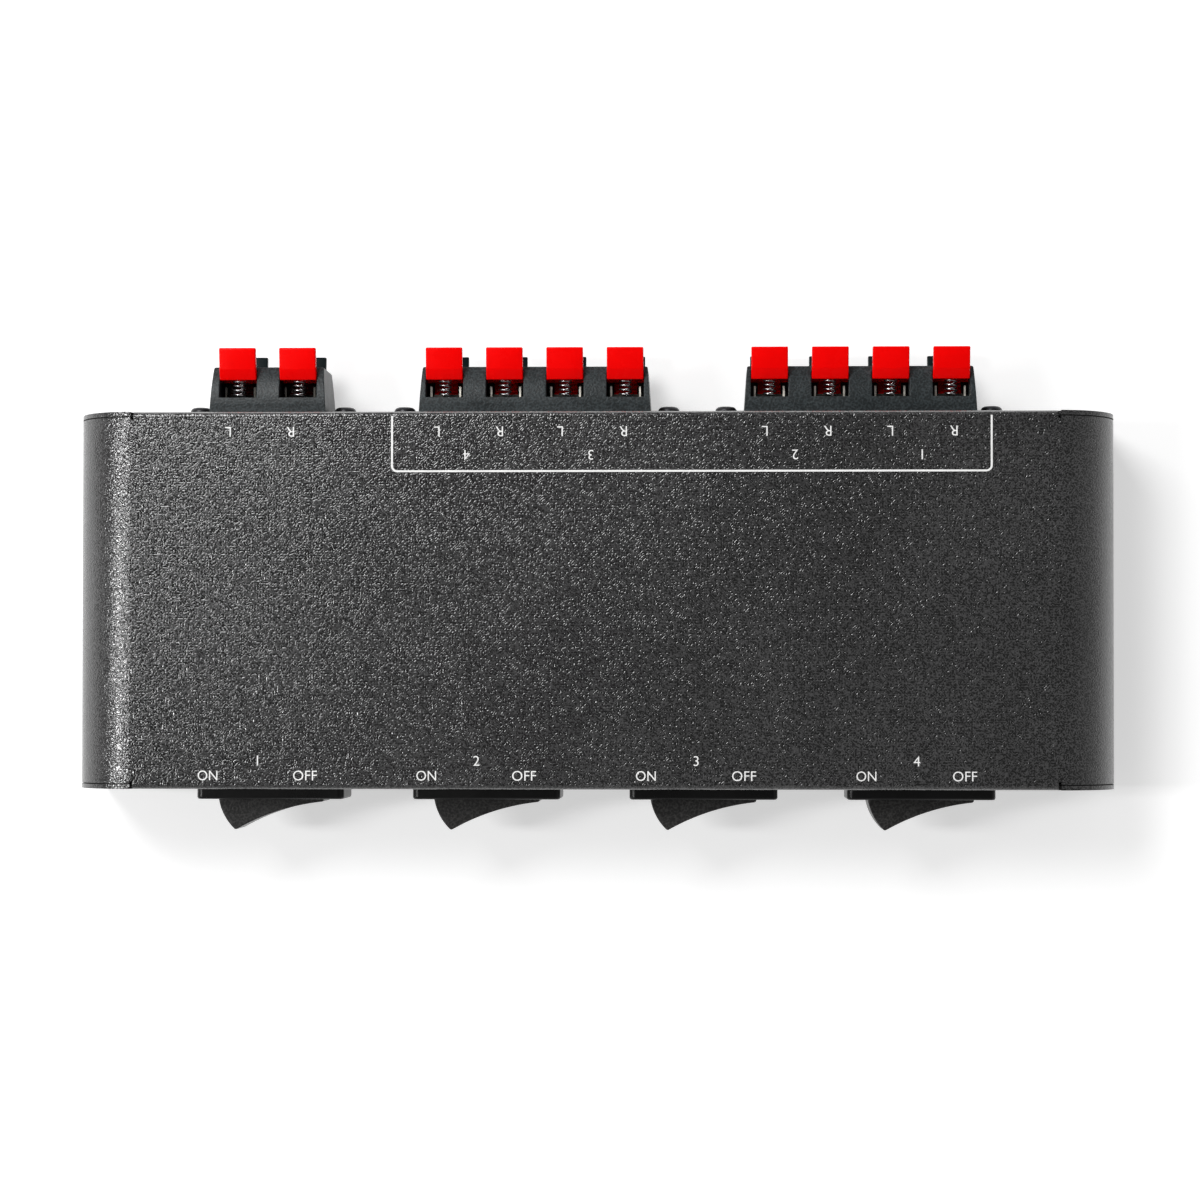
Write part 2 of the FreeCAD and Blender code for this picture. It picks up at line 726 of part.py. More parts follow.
def plungers():
    """Two domed plungers in the rocker's bosses, each with its coil spring behind it as a plain sleeve."""
    pieces = []
    dome = plunger_tip - plunger_radius
    back = plunger_tip - plunger_length
    seat = boss_end - bore_length
    for z in (-pole_pitch / 2, pole_pitch / 2):
        ball = Part.makeSphere(plunger_radius, V(0, dome, z), V(0, 1, 0))
        pieces.append(fuse([rod(plunger_radius, (0, back, z), (0, dome, z)), ball]))
        outer = plunger_radius - plunger_spring_wall / 2
        sleeve = rod(outer, (0, seat, z), (0, back, z))
        pieces.append(sleeve.cut(rod(outer - plunger_spring_wall, (0, seat - past, z), (0, back + past, z))))
    return pieces


def blades():
    """Two see-saw contact blades with a button at each end, about the rocker's pivot, level."""
    pieces = []
    half = blade_thickness / 2
    for z in (-pole_pitch / 2, pole_pitch / 2):
        side = blade_width / 2
        ends = (-blade_half_length, blade_half_length)
        plate = box(*ends, blade_axis - half, blade_axis + half, z - side, z + side)
        parts = [plate]
        for s in (-1, 1):
            x = s * (blade_half_length - button_from_end)
            top = blade_axis + half + button_height
            parts.append(rod(button_radius, (x, blade_axis, z), (x, top, z)))
        pieces.append(fuse(parts))
    return pieces


def at_pivot(shape, x):
    return shape.translated(V(x, front_y - pivot_out, rocker_z))


def turned(shape, degrees, y=0.0):
    """Turned about an upright axis through (0, y)."""
    copy = shape.copy()
    copy.rotate(V(0, y, 0), V(0, 0, 1), degrees)
    return copy


def rear_board():
    """A wiring board on the backs of the terminal blocks, slotted for the contacts' tails."""
    y1 = rear_y - block_back
    places = [x for g in zip(group_places, group_columns) for x in lever_places(*g)]
    x0, x1 = places[0] - rear_board_margin, places[-1] + rear_board_margin
    low, high = terminal_z - rear_board_height / 2, terminal_z + rear_board_height / 2
    plate = box(x0, x1, y1 - board, y1, low, high)
    cuts = []
    half = tail_width / 2 + slot_fit
    for x in places:
        for s in (1, -1):
            a, b = sorted(
                (s * (contact_low - slot_fit), s * (contact_low + contact_thickness + slot_fit))
            )
            cuts.append(box(x - half, x + half, y1 - board - past, y1 + past, terminal_z + a, terminal_z + b))
    for group in zip(group_places, group_columns):
        for x in screw_places(*group):
            radius = terminal_screw_radius + board_hole_clearance
            cuts.append(rod(radius, (x, y1 - board - past, terminal_z), (x, y1 + past, terminal_z)))
    return plate.cut(Part.makeCompound(cuts))


def front_board():
    """A wiring board on the backs of the switches, slotted for their tabs."""
    y0 = front_y + housing_depth
    half_x = rocker_places[-1] + front_board_margin
    half_z = front_board_height / 2
    plate = box(-half_x, half_x, y0, y0 + board, rocker_z - half_z, rocker_z + half_z)
    across, thick = tab_strip_width / 2 + slot_fit, tab_strip / 2 + slot_fit
    cuts = []
    for place in rocker_places:
        for x, z, _ in tab_places():
            x, z = place + x, rocker_z + z
            cuts.append(box(x - across, x + across, y0 - past, y0 + board + past, z - thick, z + thick))
    return plate.cut(Part.makeCompound(cuts))


def solder(radius, x, y, z, toward, hole):
    """A solder cone on a board at (x, y, z), pointing along toward (1 or -1 in Y), around a tab."""
    cone = Part.makeCone(radius, radius - solder_lean, solder_height, V(x, y, z), V(0, toward, 0))
    return cone.cut(hole)


def rear_solder():
    y = rear_y - block_back - board
    w = contact_low + contact_thickness / 2
    cones = []
    for group in zip(group_places, group_columns):
        for x in lever_places(*group):
            for s in (1, -1):
                z = terminal_z + s * w
                half = tail_width / 2
                thick = contact_thickness / 2
                tail = box(x - half, x + half, y - tail_reach, y + past, z - thick, z + thick)
                cones += solder(solder_spread + half, x, y, z, -1, tail).Solids
    return cones


def front_solder():
    y = front_y + housing_depth + board
    cones = []
    for place in rocker_places:
        for tab_x, tab_z, _ in tab_places():
            x, z = place + tab_x, rocker_z + tab_z
            half, thick = tab_strip_width / 2, tab_strip / 2
            tab = box(x - half, x + half, y - past, y + tab_strip_reach, z - thick, z + thick)
            cones += solder(front_solder_radius, x, y, z, 1, tab).Solids
    return cones


def tube(points, radius):
    """A round wire along straight runs, joined by arcs as large as the runs allow."""
    edges = []
    start = points[0]
    for before, corner, after in zip(points, points[1:], points[2:]):
        back, on = before - corner, after - corner
        trim = link_bend_share * min(back.Length, on.Length)
        back.normalize()
        on.normalize()
        half = back.getAngle(on) / 2
        bend = trim * math.tan(half)
        middle = corner + (back + on).normalize() * (trim / math.cos(half))
        top = middle + (corner - middle).normalize() * bend
        edges.append(Part.LineSegment(start, corner + back * trim).toShape())
        edges.append(Part.Arc(corner + back * trim, top, corner + on * trim).toShape())
        start = corner + on * trim
    edges.append(Part.LineSegment(start, points[-1]).toShape())
    ring = Part.makeCircle(radius, points[0], points[1] - points[0])
    return Part.Wire(edges).makePipeShell([Part.Wire(ring)], True, False)


def link_wires():
    """Parallel wires from board to board, each with a little slack."""
    y0 = front_y + housing_depth + board
    y1 = rear_y - block_back - board
    rear_z = terminal_z - link_rear_drop
    wires = []
    for n in range(link_count):
        x = (n - (link_count - 1) / 2) * link_pitch
        low = rear_z - link_sag - link_sag_change * math.sin(2 * n)
        route = [(y0, terminal_z), (y0 + link_lead, terminal_z), ((y0 + y1) / 2, low)]
        route += [(y1 - link_lead, rear_z), (y1, rear_z)]
        wires.append(tube([V(x, y, z) for y, z in route], link_radius))
    return wires


def build():
    os.makedirs("parts", exist_ok=True)
    save("top_cover", [top_cover()])
    save("base_plate", [base_plate()])
    save("rubber_feet", rubber_feet())
    save("case_screws", case_screws())
    names = ("input_terminal_block", "centre_terminal_block", "right_terminal_block")
    for name, place, columns in zip(names, group_places, group_columns):
        save(name, [at_terminal(terminal_block(columns), place)])
    screws, nuts = terminal_screws()
    save("terminal_screws", screws)
    save("terminal_nuts", nuts)
    places = [x for group in zip(group_places, group_columns) for x in lever_places(*group)]
    coil, gap = spring()
    print(f"least gap between a spring's curls: {gap:.2f} mm, {spring_turns * 2 * len(places)} curls in all")
    for colour, flip in (("red", lambda shape: shape), ("black", mirrored)):
        for n, x in enumerate(places):
            save(f"{colour}_lever_{n + 1}", [at_terminal(flip(lever()), x)])
        save(f"{colour}_contacts", [at_terminal(flip(contact()), x) for x in places])
        save(f"{colour}_springs", [at_terminal(flip(coil), x) for x in places])
    tabs = []
    for n, x in enumerate(rocker_places):
        save(f"switch_housing_{n + 1}", [switch_housing().translated(V(x, front_y, rocker_z))])
        save(f"rocker_{n + 1}", [at_pivot(turned(rocker(), rocker_tilt), x)])
        save(f"plungers_{n + 1}", [at_pivot(turned(p, rocker_tilt), x) for p in plungers()])
        tilt = -rocker_tilt * blade_ratio
        save(f"blades_{n + 1}", [at_pivot(turned(p, tilt, fulcrum_axis), x) for p in blades()])
        tabs += [tab.translated(V(x, front_y, rocker_z)) for tab in switch_tabs()]
    save("switch_tabs", tabs)
    save("rear_wiring_board", [rear_board()])
    save("front_wiring_board", [front_board()])
    save("rear_solder", rear_solder())
    save("front_solder", front_solder())
    save("link_wires", link_wires())
    print(f"rocker pivots: y {front_y - pivot_out:.4f}, z {rocker_z:.4f}, x {rocker_places}")
    print(f"blade pivots: y {front_y - pivot_out + fulcrum_axis:.4f}")
    print(f"lever pivots: y {rear_y + pivot_u:.4f}, z {terminal_z:.4f} +- {pivot_w}, x {places}")
    print(f"front panel y {front_y:.4f}, rear panel y {rear_y:.4f}")


build()
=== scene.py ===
# %% [markdown]
# # A speaker selector switch, dressed for the camera
#
# The real object is a slim box of folded steel. Four long rocker switches look out of
# its front, and three moulded blocks of spring terminals stand out behind, with red
# levers above and black ones below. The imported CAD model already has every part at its
# true size and place. This lesson keeps those shapes, gives each one its finish, and
# makes afresh the pieces that a camera looks at hardest: the levers and their springs.
# The white screen printing on the cover is new too.

# %% The frame
import json
import math

import bmesh
import bpy
import numpy as np
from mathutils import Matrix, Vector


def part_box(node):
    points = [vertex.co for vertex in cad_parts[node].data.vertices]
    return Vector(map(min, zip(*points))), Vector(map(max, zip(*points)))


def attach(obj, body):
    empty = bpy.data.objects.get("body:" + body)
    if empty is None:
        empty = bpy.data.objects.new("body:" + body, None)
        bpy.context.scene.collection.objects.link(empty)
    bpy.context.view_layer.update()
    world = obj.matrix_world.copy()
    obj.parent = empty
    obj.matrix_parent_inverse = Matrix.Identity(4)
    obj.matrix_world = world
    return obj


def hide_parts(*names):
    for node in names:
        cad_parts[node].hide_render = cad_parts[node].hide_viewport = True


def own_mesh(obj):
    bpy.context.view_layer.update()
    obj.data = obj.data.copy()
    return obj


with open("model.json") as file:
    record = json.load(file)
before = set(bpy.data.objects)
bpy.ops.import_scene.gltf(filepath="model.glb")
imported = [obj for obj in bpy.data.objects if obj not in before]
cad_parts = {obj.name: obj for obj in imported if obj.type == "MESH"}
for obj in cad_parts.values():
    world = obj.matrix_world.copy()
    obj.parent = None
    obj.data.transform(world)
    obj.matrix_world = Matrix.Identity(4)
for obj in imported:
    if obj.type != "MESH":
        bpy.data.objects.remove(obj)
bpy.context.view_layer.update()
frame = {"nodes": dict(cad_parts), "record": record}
nodes = frame["nodes"]

# %% [markdown]
# ## Names for places
#
# Everything is in metres, in the CAD's own frame: +X to the right seen from the front,
# +Y to the rear, +Z up. Where a place can be read from a node's box it is, so that a
# piece made here always stands on the piece that carries it.

# %% Places read from the frame
MM = 0.001
cover_low, cover_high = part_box("top_cover")
top_z = cover_high.z
front_y, rear_y = cover_low.y, cover_high.y
case_y = (front_y + rear_y) / 2
lever_count = 10
columns = [sum(c.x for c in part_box(f"red_lever_{n + 1}")) / 2 for n in range(lever_count)]
terminal_z = sum(c.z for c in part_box("centre_terminal_block")) / 2
print(f"top at {top_z / MM:.1f} mm, panels at {front_y / MM:.2f} and {rear_y / MM:.2f} mm")

# %% [markdown]
# ## Camera
#
# The photograph was taken from straight above, from a little over half a metre, by a
# camera that stood to the right of the box's middle and nearer its front. That is why
# the right-hand side faces of the bezels and blocks show. A lens shift of a few per
# cent and a tilt of a degree or so share the work of bringing the box to the middle.

# %% Camera
camera_data = bpy.data.cameras.new("camera")
camera_data.lens = 81.26
camera_data.sensor_width = 36.0
camera_data.shift_x = -0.03
camera_data.shift_y = 0.05
camera_data.clip_start = 0.01
camera_data.clip_end = 20.0
camera = bpy.data.objects.new("camera", camera_data)
camera.location = (0.0234, -0.02385, 0.5922)
camera.rotation_euler = tuple(math.radians(a) for a in (0.890, 1.493, 0.045))
bpy.context.scene.collection.objects.link(camera)
bpy.context.scene.camera = camera
bpy.context.scene.view_settings.view_transform = "Standard"

# %% [markdown]
# ## Light and floor
#
# The shadows fall to the right and to the front, two thirds as far as the box is high,
# so the main lamp is a large soft one behind and to the left, some 30 degrees off the
# vertical. A narrow lamp farther to the left draws the bright band along the rolled left
# end, and a weak one in front opens the shadows there. The rest of the light comes from
# the room: white walls all round, and a dark ceiling behind the camera, which is why the
# faces that look straight up stay so dark. The floor is a matt near-white, and a little
# of its own light, seen by the camera and by reflections only, carries it to paper white
# while its shadows stay.

# %% Light: the room
wall_strength, wall_lean = 0.74, (-0.07, 0.0, 0.0)
ceiling_strength, ceiling_from = 0.13, 0.95
world = bpy.data.worlds.new("studio")
bpy.context.scene.world = world
world.use_nodes = True
sky = world.node_tree.nodes["Background"]
sky.inputs["Color"].default_value = (1.0, 1.0, 1.0, 1.0)
toward = world.node_tree.nodes.new("ShaderNodeTexCoord")
height = world.node_tree.nodes.new("ShaderNodeSeparateXYZ")
lean = world.node_tree.nodes.new("ShaderNodeVectorMath")
lean.operation = "DOT_PRODUCT"
lean.inputs[1].default_value = wall_lean
walls = world.node_tree.nodes.new("ShaderNodeMath")
walls.inputs[1].default_value = wall_strength
room = world.node_tree.nodes.new("ShaderNodeMapRange")
room.inputs["From Min"].default_value = 0.0
room.inputs["From Max"].default_value = ceiling_from
room.inputs["To Max"].default_value = ceiling_strength
world.node_tree.links.new(toward.outputs["Generated"], height.inputs[0])
world.node_tree.links.new(toward.outputs["Generated"], lean.inputs[0])
world.node_tree.links.new(lean.outputs["Value"], walls.inputs[0])
world.node_tree.links.new(height.outputs["Z"], room.inputs["Value"])
world.node_tree.links.new(walls.outputs[0], room.inputs["To Min"])
world.node_tree.links.new(room.outputs["Result"], sky.inputs["Strength"])
print(f"walls at {wall_strength}, ceiling at {ceiling_strength}")


# %% Light: the lamps
def softbox(name, place, width, height, power, aim=(0.0, 0.0, 0.02)):
    """A flat lamp at a place, turned to look at the point to aim for, its height upwards."""
    data = bpy.data.lights.new(name, "AREA")
    data.shape = "RECTANGLE"
    data.size = width
    data.size_y = height
    data.energy = power
    lamp = bpy.data.objects.new(name, data)
    lamp.location = place
    look = [a - p for a, p in zip(aim, place)]
    lamp.rotation_euler = Vector(look).to_track_quat("-Z", "Y").to_euler()
    bpy.context.scene.collection.objects.link(lamp)
    return lamp


left_end = (cover_low.x + 9 * MM, 0.0, top_z - 2.2 * MM)
softbox("key", (-0.355, 0.465, 0.785), 0.37, 0.37, 5.2)
softbox("strip", (-0.640, -0.020, 0.770), 0.09, 0.36, 2.9, aim=left_end)
softbox("front_fill", (0.10, -0.80, 0.75), 0.60, 0.60, 0.3)


# %% Floor: a matt sheet with a little light of its own
def surface(name, verts, faces):
    """A mesh object from arrays of points and of faces, linked to the scene."""
    mesh = bpy.data.meshes.new(name)
    mesh.from_pydata(np.asarray(verts, float).tolist(), [], [list(map(int, f)) for f in faces])
    mesh.update()
    piece = bpy.data.objects.new(name, mesh)
    bpy.context.scene.collection.objects.link(piece)
    return piece


floor_half, paper_white, own_light = 3.0, 0.80, 0.46
floor = surface(
    "floor",
    [(x * floor_half, y * floor_half, 0) for x, y in ((-1, -1), (1, -1), (1, 1), (-1, 1))],
    [(0, 1, 2, 3)],
)
paper = bpy.data.materials.new("paper")
paper.use_nodes = True
tree = paper.node_tree
tree.nodes.clear()
out = tree.nodes.new("ShaderNodeOutputMaterial")
add = tree.nodes.new("ShaderNodeAddShader")
matt = tree.nodes.new("ShaderNodeBsdfDiffuse")
matt.inputs["Color"].default_value = (paper_white, paper_white, paper_white, 1.0)
glow = tree.nodes.new("ShaderNodeEmission")
glow.inputs["Color"].default_value = (1.0, 1.0, 1.0, 1.0)
rays = tree.nodes.new("ShaderNodeLightPath")
seen = tree.nodes.new("ShaderNodeMath")
seen.operation = "MAXIMUM"
through = tree.nodes.new("ShaderNodeMath")
through.operation = "MAXIMUM"
share = tree.nodes.new("ShaderNodeMath")
share.operation = "MULTIPLY"
share.inputs[1].default_value = own_light
tree.links.new(rays.outputs["Is Camera Ray"], seen.inputs[0])
tree.links.new(rays.outputs["Is Glossy Ray"], seen.inputs[1])
tree.links.new(seen.outputs[0], through.inputs[0])
tree.links.new(rays.outputs["Is Transmission Ray"], through.inputs[1])
tree.links.new(through.outputs[0], share.inputs[0])
tree.links.new(share.outputs[0], glow.inputs["Strength"])
tree.links.new(matt.outputs[0], add.inputs[0])
tree.links.new(glow.outputs[0], add.inputs[1])
tree.links.new(add.outputs[0], out.inputs["Surface"])
floor.data.materials.append(paper)

# %% [markdown]
# ## Shared shader groups
#
# Four effects serve most of the finishes, so each is a node group that is built once:
# the pebbles of a textured powder coat, the fine grain of moulded plastic, the uneven
# gloss of a handled surface, and a little dust on whatever faces up. Each reads the
# object's own coordinates in metres, so a scale of 1000 means features a millimetre
# across, wherever the piece is.


# %% Group helpers
def node_group(name, inputs, outputs):
    """An empty shader group: inputs are (name, kind, default) and outputs (name, kind)."""
    group = bpy.data.node_groups.new(name, "ShaderNodeTree")
    for label, kind, value in inputs:
        socket = group.interface.new_socket(label, in_out="INPUT", socket_type="NodeSocket" + kind)
        if value is not None:
            socket.default_value = value
    for label, kind in outputs:
        group.interface.new_socket(label, in_out="OUTPUT", socket_type="NodeSocket" + kind)
    return group, group.nodes.new("NodeGroupInput"), group.nodes.new("NodeGroupOutput")


def maths(tree, operation, a, b=None, c=None):
    """A Math node whose inputs are sockets or numbers; gives its output socket."""
    node = tree.nodes.new("ShaderNodeMath")
    node.operation = operation
    for slot, value in zip(node.inputs, (a, b, c)):
        if value is None:
            continue
        if isinstance(value, (int, float)):
            slot.default_value = value
        else:
            tree.links.new(value, slot)
    return node.outputs[0]


def blend(tree, factor, a, b, kind="MIX"):
    """A colour Mix node; factor, a and b are sockets, numbers or colours."""
    node = tree.nodes.new("ShaderNodeMix")
    node.data_type = "RGBA"
    node.blend_type = kind
    for slot, value in zip((node.inputs[0], node.inputs[6], node.inputs[7]), (factor, a, b)):
        if isinstance(value, bpy.types.NodeSocket):
            tree.links.new(value, slot)
        else:
            slot.default_value = value
    return node.outputs[2]


def noise(tree, vector, scale, detail=2.0, rough=0.5):
    """A Noise node read at vector; scale is a socket or a number."""
    node = tree.nodes.new("ShaderNodeTexNoise")
    node.inputs["Detail"].default_value = detail
    node.inputs["Roughness"].default_value = rough
    tree.links.new(vector, node.inputs["Vector"])
    if isinstance(scale, bpy.types.NodeSocket):
        tree.links.new(scale, node.inputs["Scale"])
    else:
        node.inputs["Scale"].default_value = scale
    return node.outputs["Fac"]


def spread(tree, value, low, high, out_low=0.0, out_high=1.0):
    """A Map Range node that carries low..high to out_low..out_high, clamped."""
    node = tree.nodes.new("ShaderNodeMapRange")
    tree.links.new(value, node.inputs["Value"])
    labels = ("From Min", "From Max", "To Min", "To Max")
    for label, number in zip(labels, (low, high, out_low, out_high)):
        if isinstance(number, bpy.types.NodeSocket):
            tree.links.new(number, node.inputs[label])
        else:
            node.inputs[label].default_value = number
    return node.outputs["Result"]


# %% Group: pebbles of a textured powder coat
# Where a noise crosses its middle value it draws winding ridges, and a finer noise
# breaks them into crumbs. The fleck is how high a point stands, from 0 to 1.
crumb_share = 1.7
pebbles, given, made = node_group(
    "pebbles",
    [("Vector", "Vector", None), ("Scale", "Float", 1300.0)],
    [("Height", "Float"), ("Fleck", "Float")],
)
lumps = noise(pebbles, given.outputs["Vector"], given.outputs["Scale"], 0.0)
finer = maths(pebbles, "MULTIPLY", given.outputs["Scale"], crumb_share)
crumbs = noise(pebbles, given.outputs["Vector"], finer, 0.0)
away = maths(pebbles, "ABSOLUTE", maths(pebbles, "SUBTRACT", lumps, 0.5))
ridges = spread(pebbles, away, 0.0, 0.16, 1.0, 0.0)
body = maths(pebbles, "MULTIPLY_ADD", ridges, 0.45, maths(pebbles, "MULTIPLY", crumbs, 0.9))
pebbles.links.new(body, made.inputs["Height"])
pebbles.links.new(spread(pebbles, body, 0.45, 0.95), made.inputs["Fleck"])

# %% Group: fine grain of moulded plastic
grain, given, made = node_group(
    "grain",
    [("Vector", "Vector", None), ("Scale", "Float", 4000.0)],
    [("Height", "Float")],
)
fine = noise(grain, given.outputs["Vector"], given.outputs["Scale"], 3.0, 0.6)
grain.links.new(fine, made.inputs["Height"])

# %% Group: uneven gloss of a handled surface
handled, given, made = node_group(
    "handled",
    [
        ("Vector", "Vector", None), ("Scale", "Float", 60.0),
        ("Low", "Float", 0.3), ("High", "Float", 0.4),
    ],
    [("Roughness", "Float"), ("Mask", "Float")],
)
patches = noise(handled, given.outputs["Vector"], given.outputs["Scale"], 4.0, 0.6)
patch_mask = spread(handled, patches, 0.35, 0.65)
span = maths(handled, "SUBTRACT", given.outputs["High"], given.outputs["Low"])
handled.links.new(
    maths(handled, "MULTIPLY_ADD", patch_mask, span, given.outputs["Low"]), made.inputs["Roughness"]
)
handled.links.new(patch_mask, made.inputs["Mask"])

# %% Group: dust on what faces up
dust, given, made = node_group(
    "dust",
    [
        ("Vector", "Vector", None), ("Color", "Color", (0.5, 0.5, 0.5, 1.0)),
        ("Amount", "Float", 0.1),
    ],
    [("Color", "Color"), ("Mask", "Float")],
)
facing = dust.nodes.new("ShaderNodeNewGeometry")
parts = dust.nodes.new("ShaderNodeSeparateXYZ")
dust.links.new(facing.outputs["Normal"], parts.inputs[0])
upward = spread(dust, parts.outputs["Z"], 0.5, 1.0)
specks = spread(dust, noise(dust, given.outputs["Vector"], 1900.0, 4.0, 0.7), 0.50, 0.75)
drift = spread(dust, noise(dust, given.outputs["Vector"], 45.0, 3.0, 0.6), 0.3, 0.7, 0.3, 1.0)
film = maths(dust, "MULTIPLY", maths(dust, "MULTIPLY", upward, specks), drift)
lying = maths(dust, "MULTIPLY", film, given.outputs["Amount"])
dust_colour = (0.42, 0.40, 0.37, 1.0)
dusted = blend(dust, lying, given.outputs["Color"], dust_colour)
dust.links.new(dusted, made.inputs["Color"])
dust.links.new(lying, made.inputs["Mask"])
print("shared groups:", [g.name for g in bpy.data.node_groups])

# %% [markdown]
# ## Finishes
#
# A finish is one Principled shader. What is the same all over is set on the shader's
# own sockets, and the groups feed what changes over the surface: colour, roughness and
# the height of a Bump node. The helper below wires the usual chain, and each finish
# then says only its numbers.


# %% Finish helper
def finish(name, colour, rough, metallic=0.0, texture=None, bump=0.00002, tint=0.15, dusty=0.05,
           patch=60.0, ior=1.5, edge=0.0, painted_shade=(), speck=0.0, **sockets):
    """A finish: colour mottled by tint, roughness between two values, and a bump texture.

    texture is (group, scale), and bump is its height in metres. speck is how far the
    colour follows the pebbles: it is multiplied by 1 + 2 * speck * (fleck - 0.4). edge is
    the radius, in metres, over which the shading goes round the edges, as on any moulded
    corner. painted_shade holds (axis, place, share): before that place on that axis the
    colour is darkened to the share, a painted shade for what lies deep in a pocket, where
    little light gets in.
    """
    material = bpy.data.materials.new(name)
    material.use_nodes = True
    tree = material.node_tree
    shader = tree.nodes["Principled BSDF"]
    shader.inputs["Metallic"].default_value = metallic
    shader.inputs["IOR"].default_value = ior
    for label, value in sockets.items():
        shader.inputs[label.replace("_", " ")].default_value = value
    place = tree.nodes.new("ShaderNodeTexCoord").outputs["Object"]

    def group(kind, **values):
        node = tree.nodes.new("ShaderNodeGroup")
        node.node_tree = kind
        tree.links.new(place, node.inputs["Vector"])
        for label, value in values.items():
            node.inputs[label].default_value = value
        return node

    gloss = group(handled, Scale=patch, Low=rough[0], High=rough[1])
    tree.links.new(gloss.outputs["Roughness"], shader.inputs["Roughness"])
    light, dark = (tuple(min(1.0, c * k) for c in colour) + (1.0,) for k in (1 + tint, 1 - tint))
    mottled = blend(tree, gloss.outputs["Mask"], dark, light)
    if edge:
        soft = tree.nodes.new("ShaderNodeBevel")
        soft.samples = 6
        soft.inputs["Radius"].default_value = edge
        tree.links.new(soft.outputs["Normal"], shader.inputs["Normal"])
    if texture:
        kind, scale = texture
        relief = group(kind, Scale=scale)
        height = tree.nodes.new("ShaderNodeBump")
        if edge:
            tree.links.new(soft.outputs["Normal"], height.inputs["Normal"])
        height.inputs["Strength"].default_value = 1.0
        height.inputs["Distance"].default_value = bump
        tree.links.new(relief.outputs["Height"], height.inputs["Height"])
        tree.links.new(height.outputs["Normal"], shader.inputs["Normal"])
        if speck:
            share = maths(tree, "MULTIPLY_ADD", relief.outputs["Fleck"], 2 * speck, 1 - 0.8 * speck)
            mottled = blend(tree, 1.0, mottled, share, "MULTIPLY")
    # Painted shade: the colour is darkened to the share before the given place on one axis.
    for axis, start, share in painted_shade:
        parts = tree.nodes.new("ShaderNodeSeparateXYZ")
        tree.links.new(place, parts.inputs[0])
        kept = spread(tree, parts.outputs[axis], start, start + 0.2 * MM, share, 1.0)
        mottled = blend(tree, 1.0, mottled, kept, "MULTIPLY")
    lying = group(dust, Amount=dusty)
    tree.links.new(mottled, lying.inputs["Color"])
    tree.links.new(lying.outputs["Color"], shader.inputs["Base Color"])
    return material


# %% The red moulding of the levers
def red_moulding(name, share):
    """Bright red plastic that lets a little light through, with painted shade to share in the
    pocket.
    """
    return finish(
        name, (0.95, 0.001, 0.001), (0.24, 0.30),
        texture=(grain, 1800.0), bump=0.000012, tint=0.04, dusty=0.002, patch=120.0,
        # Painted shade: nearer the rear panel than 7.4 mm, the red is darkened to share.
        painted_shade=[("Y", rear_y + 7.4 * MM, share)], Specular_IOR_Level=0.06,
        Subsurface_Weight=0.35, Subsurface_Scale=0.0015,
    )


# The input block's pockets get a darker painted shade inside than those of the other two.
shaded_red = red_moulding("shaded_red_plastic", 0.02)

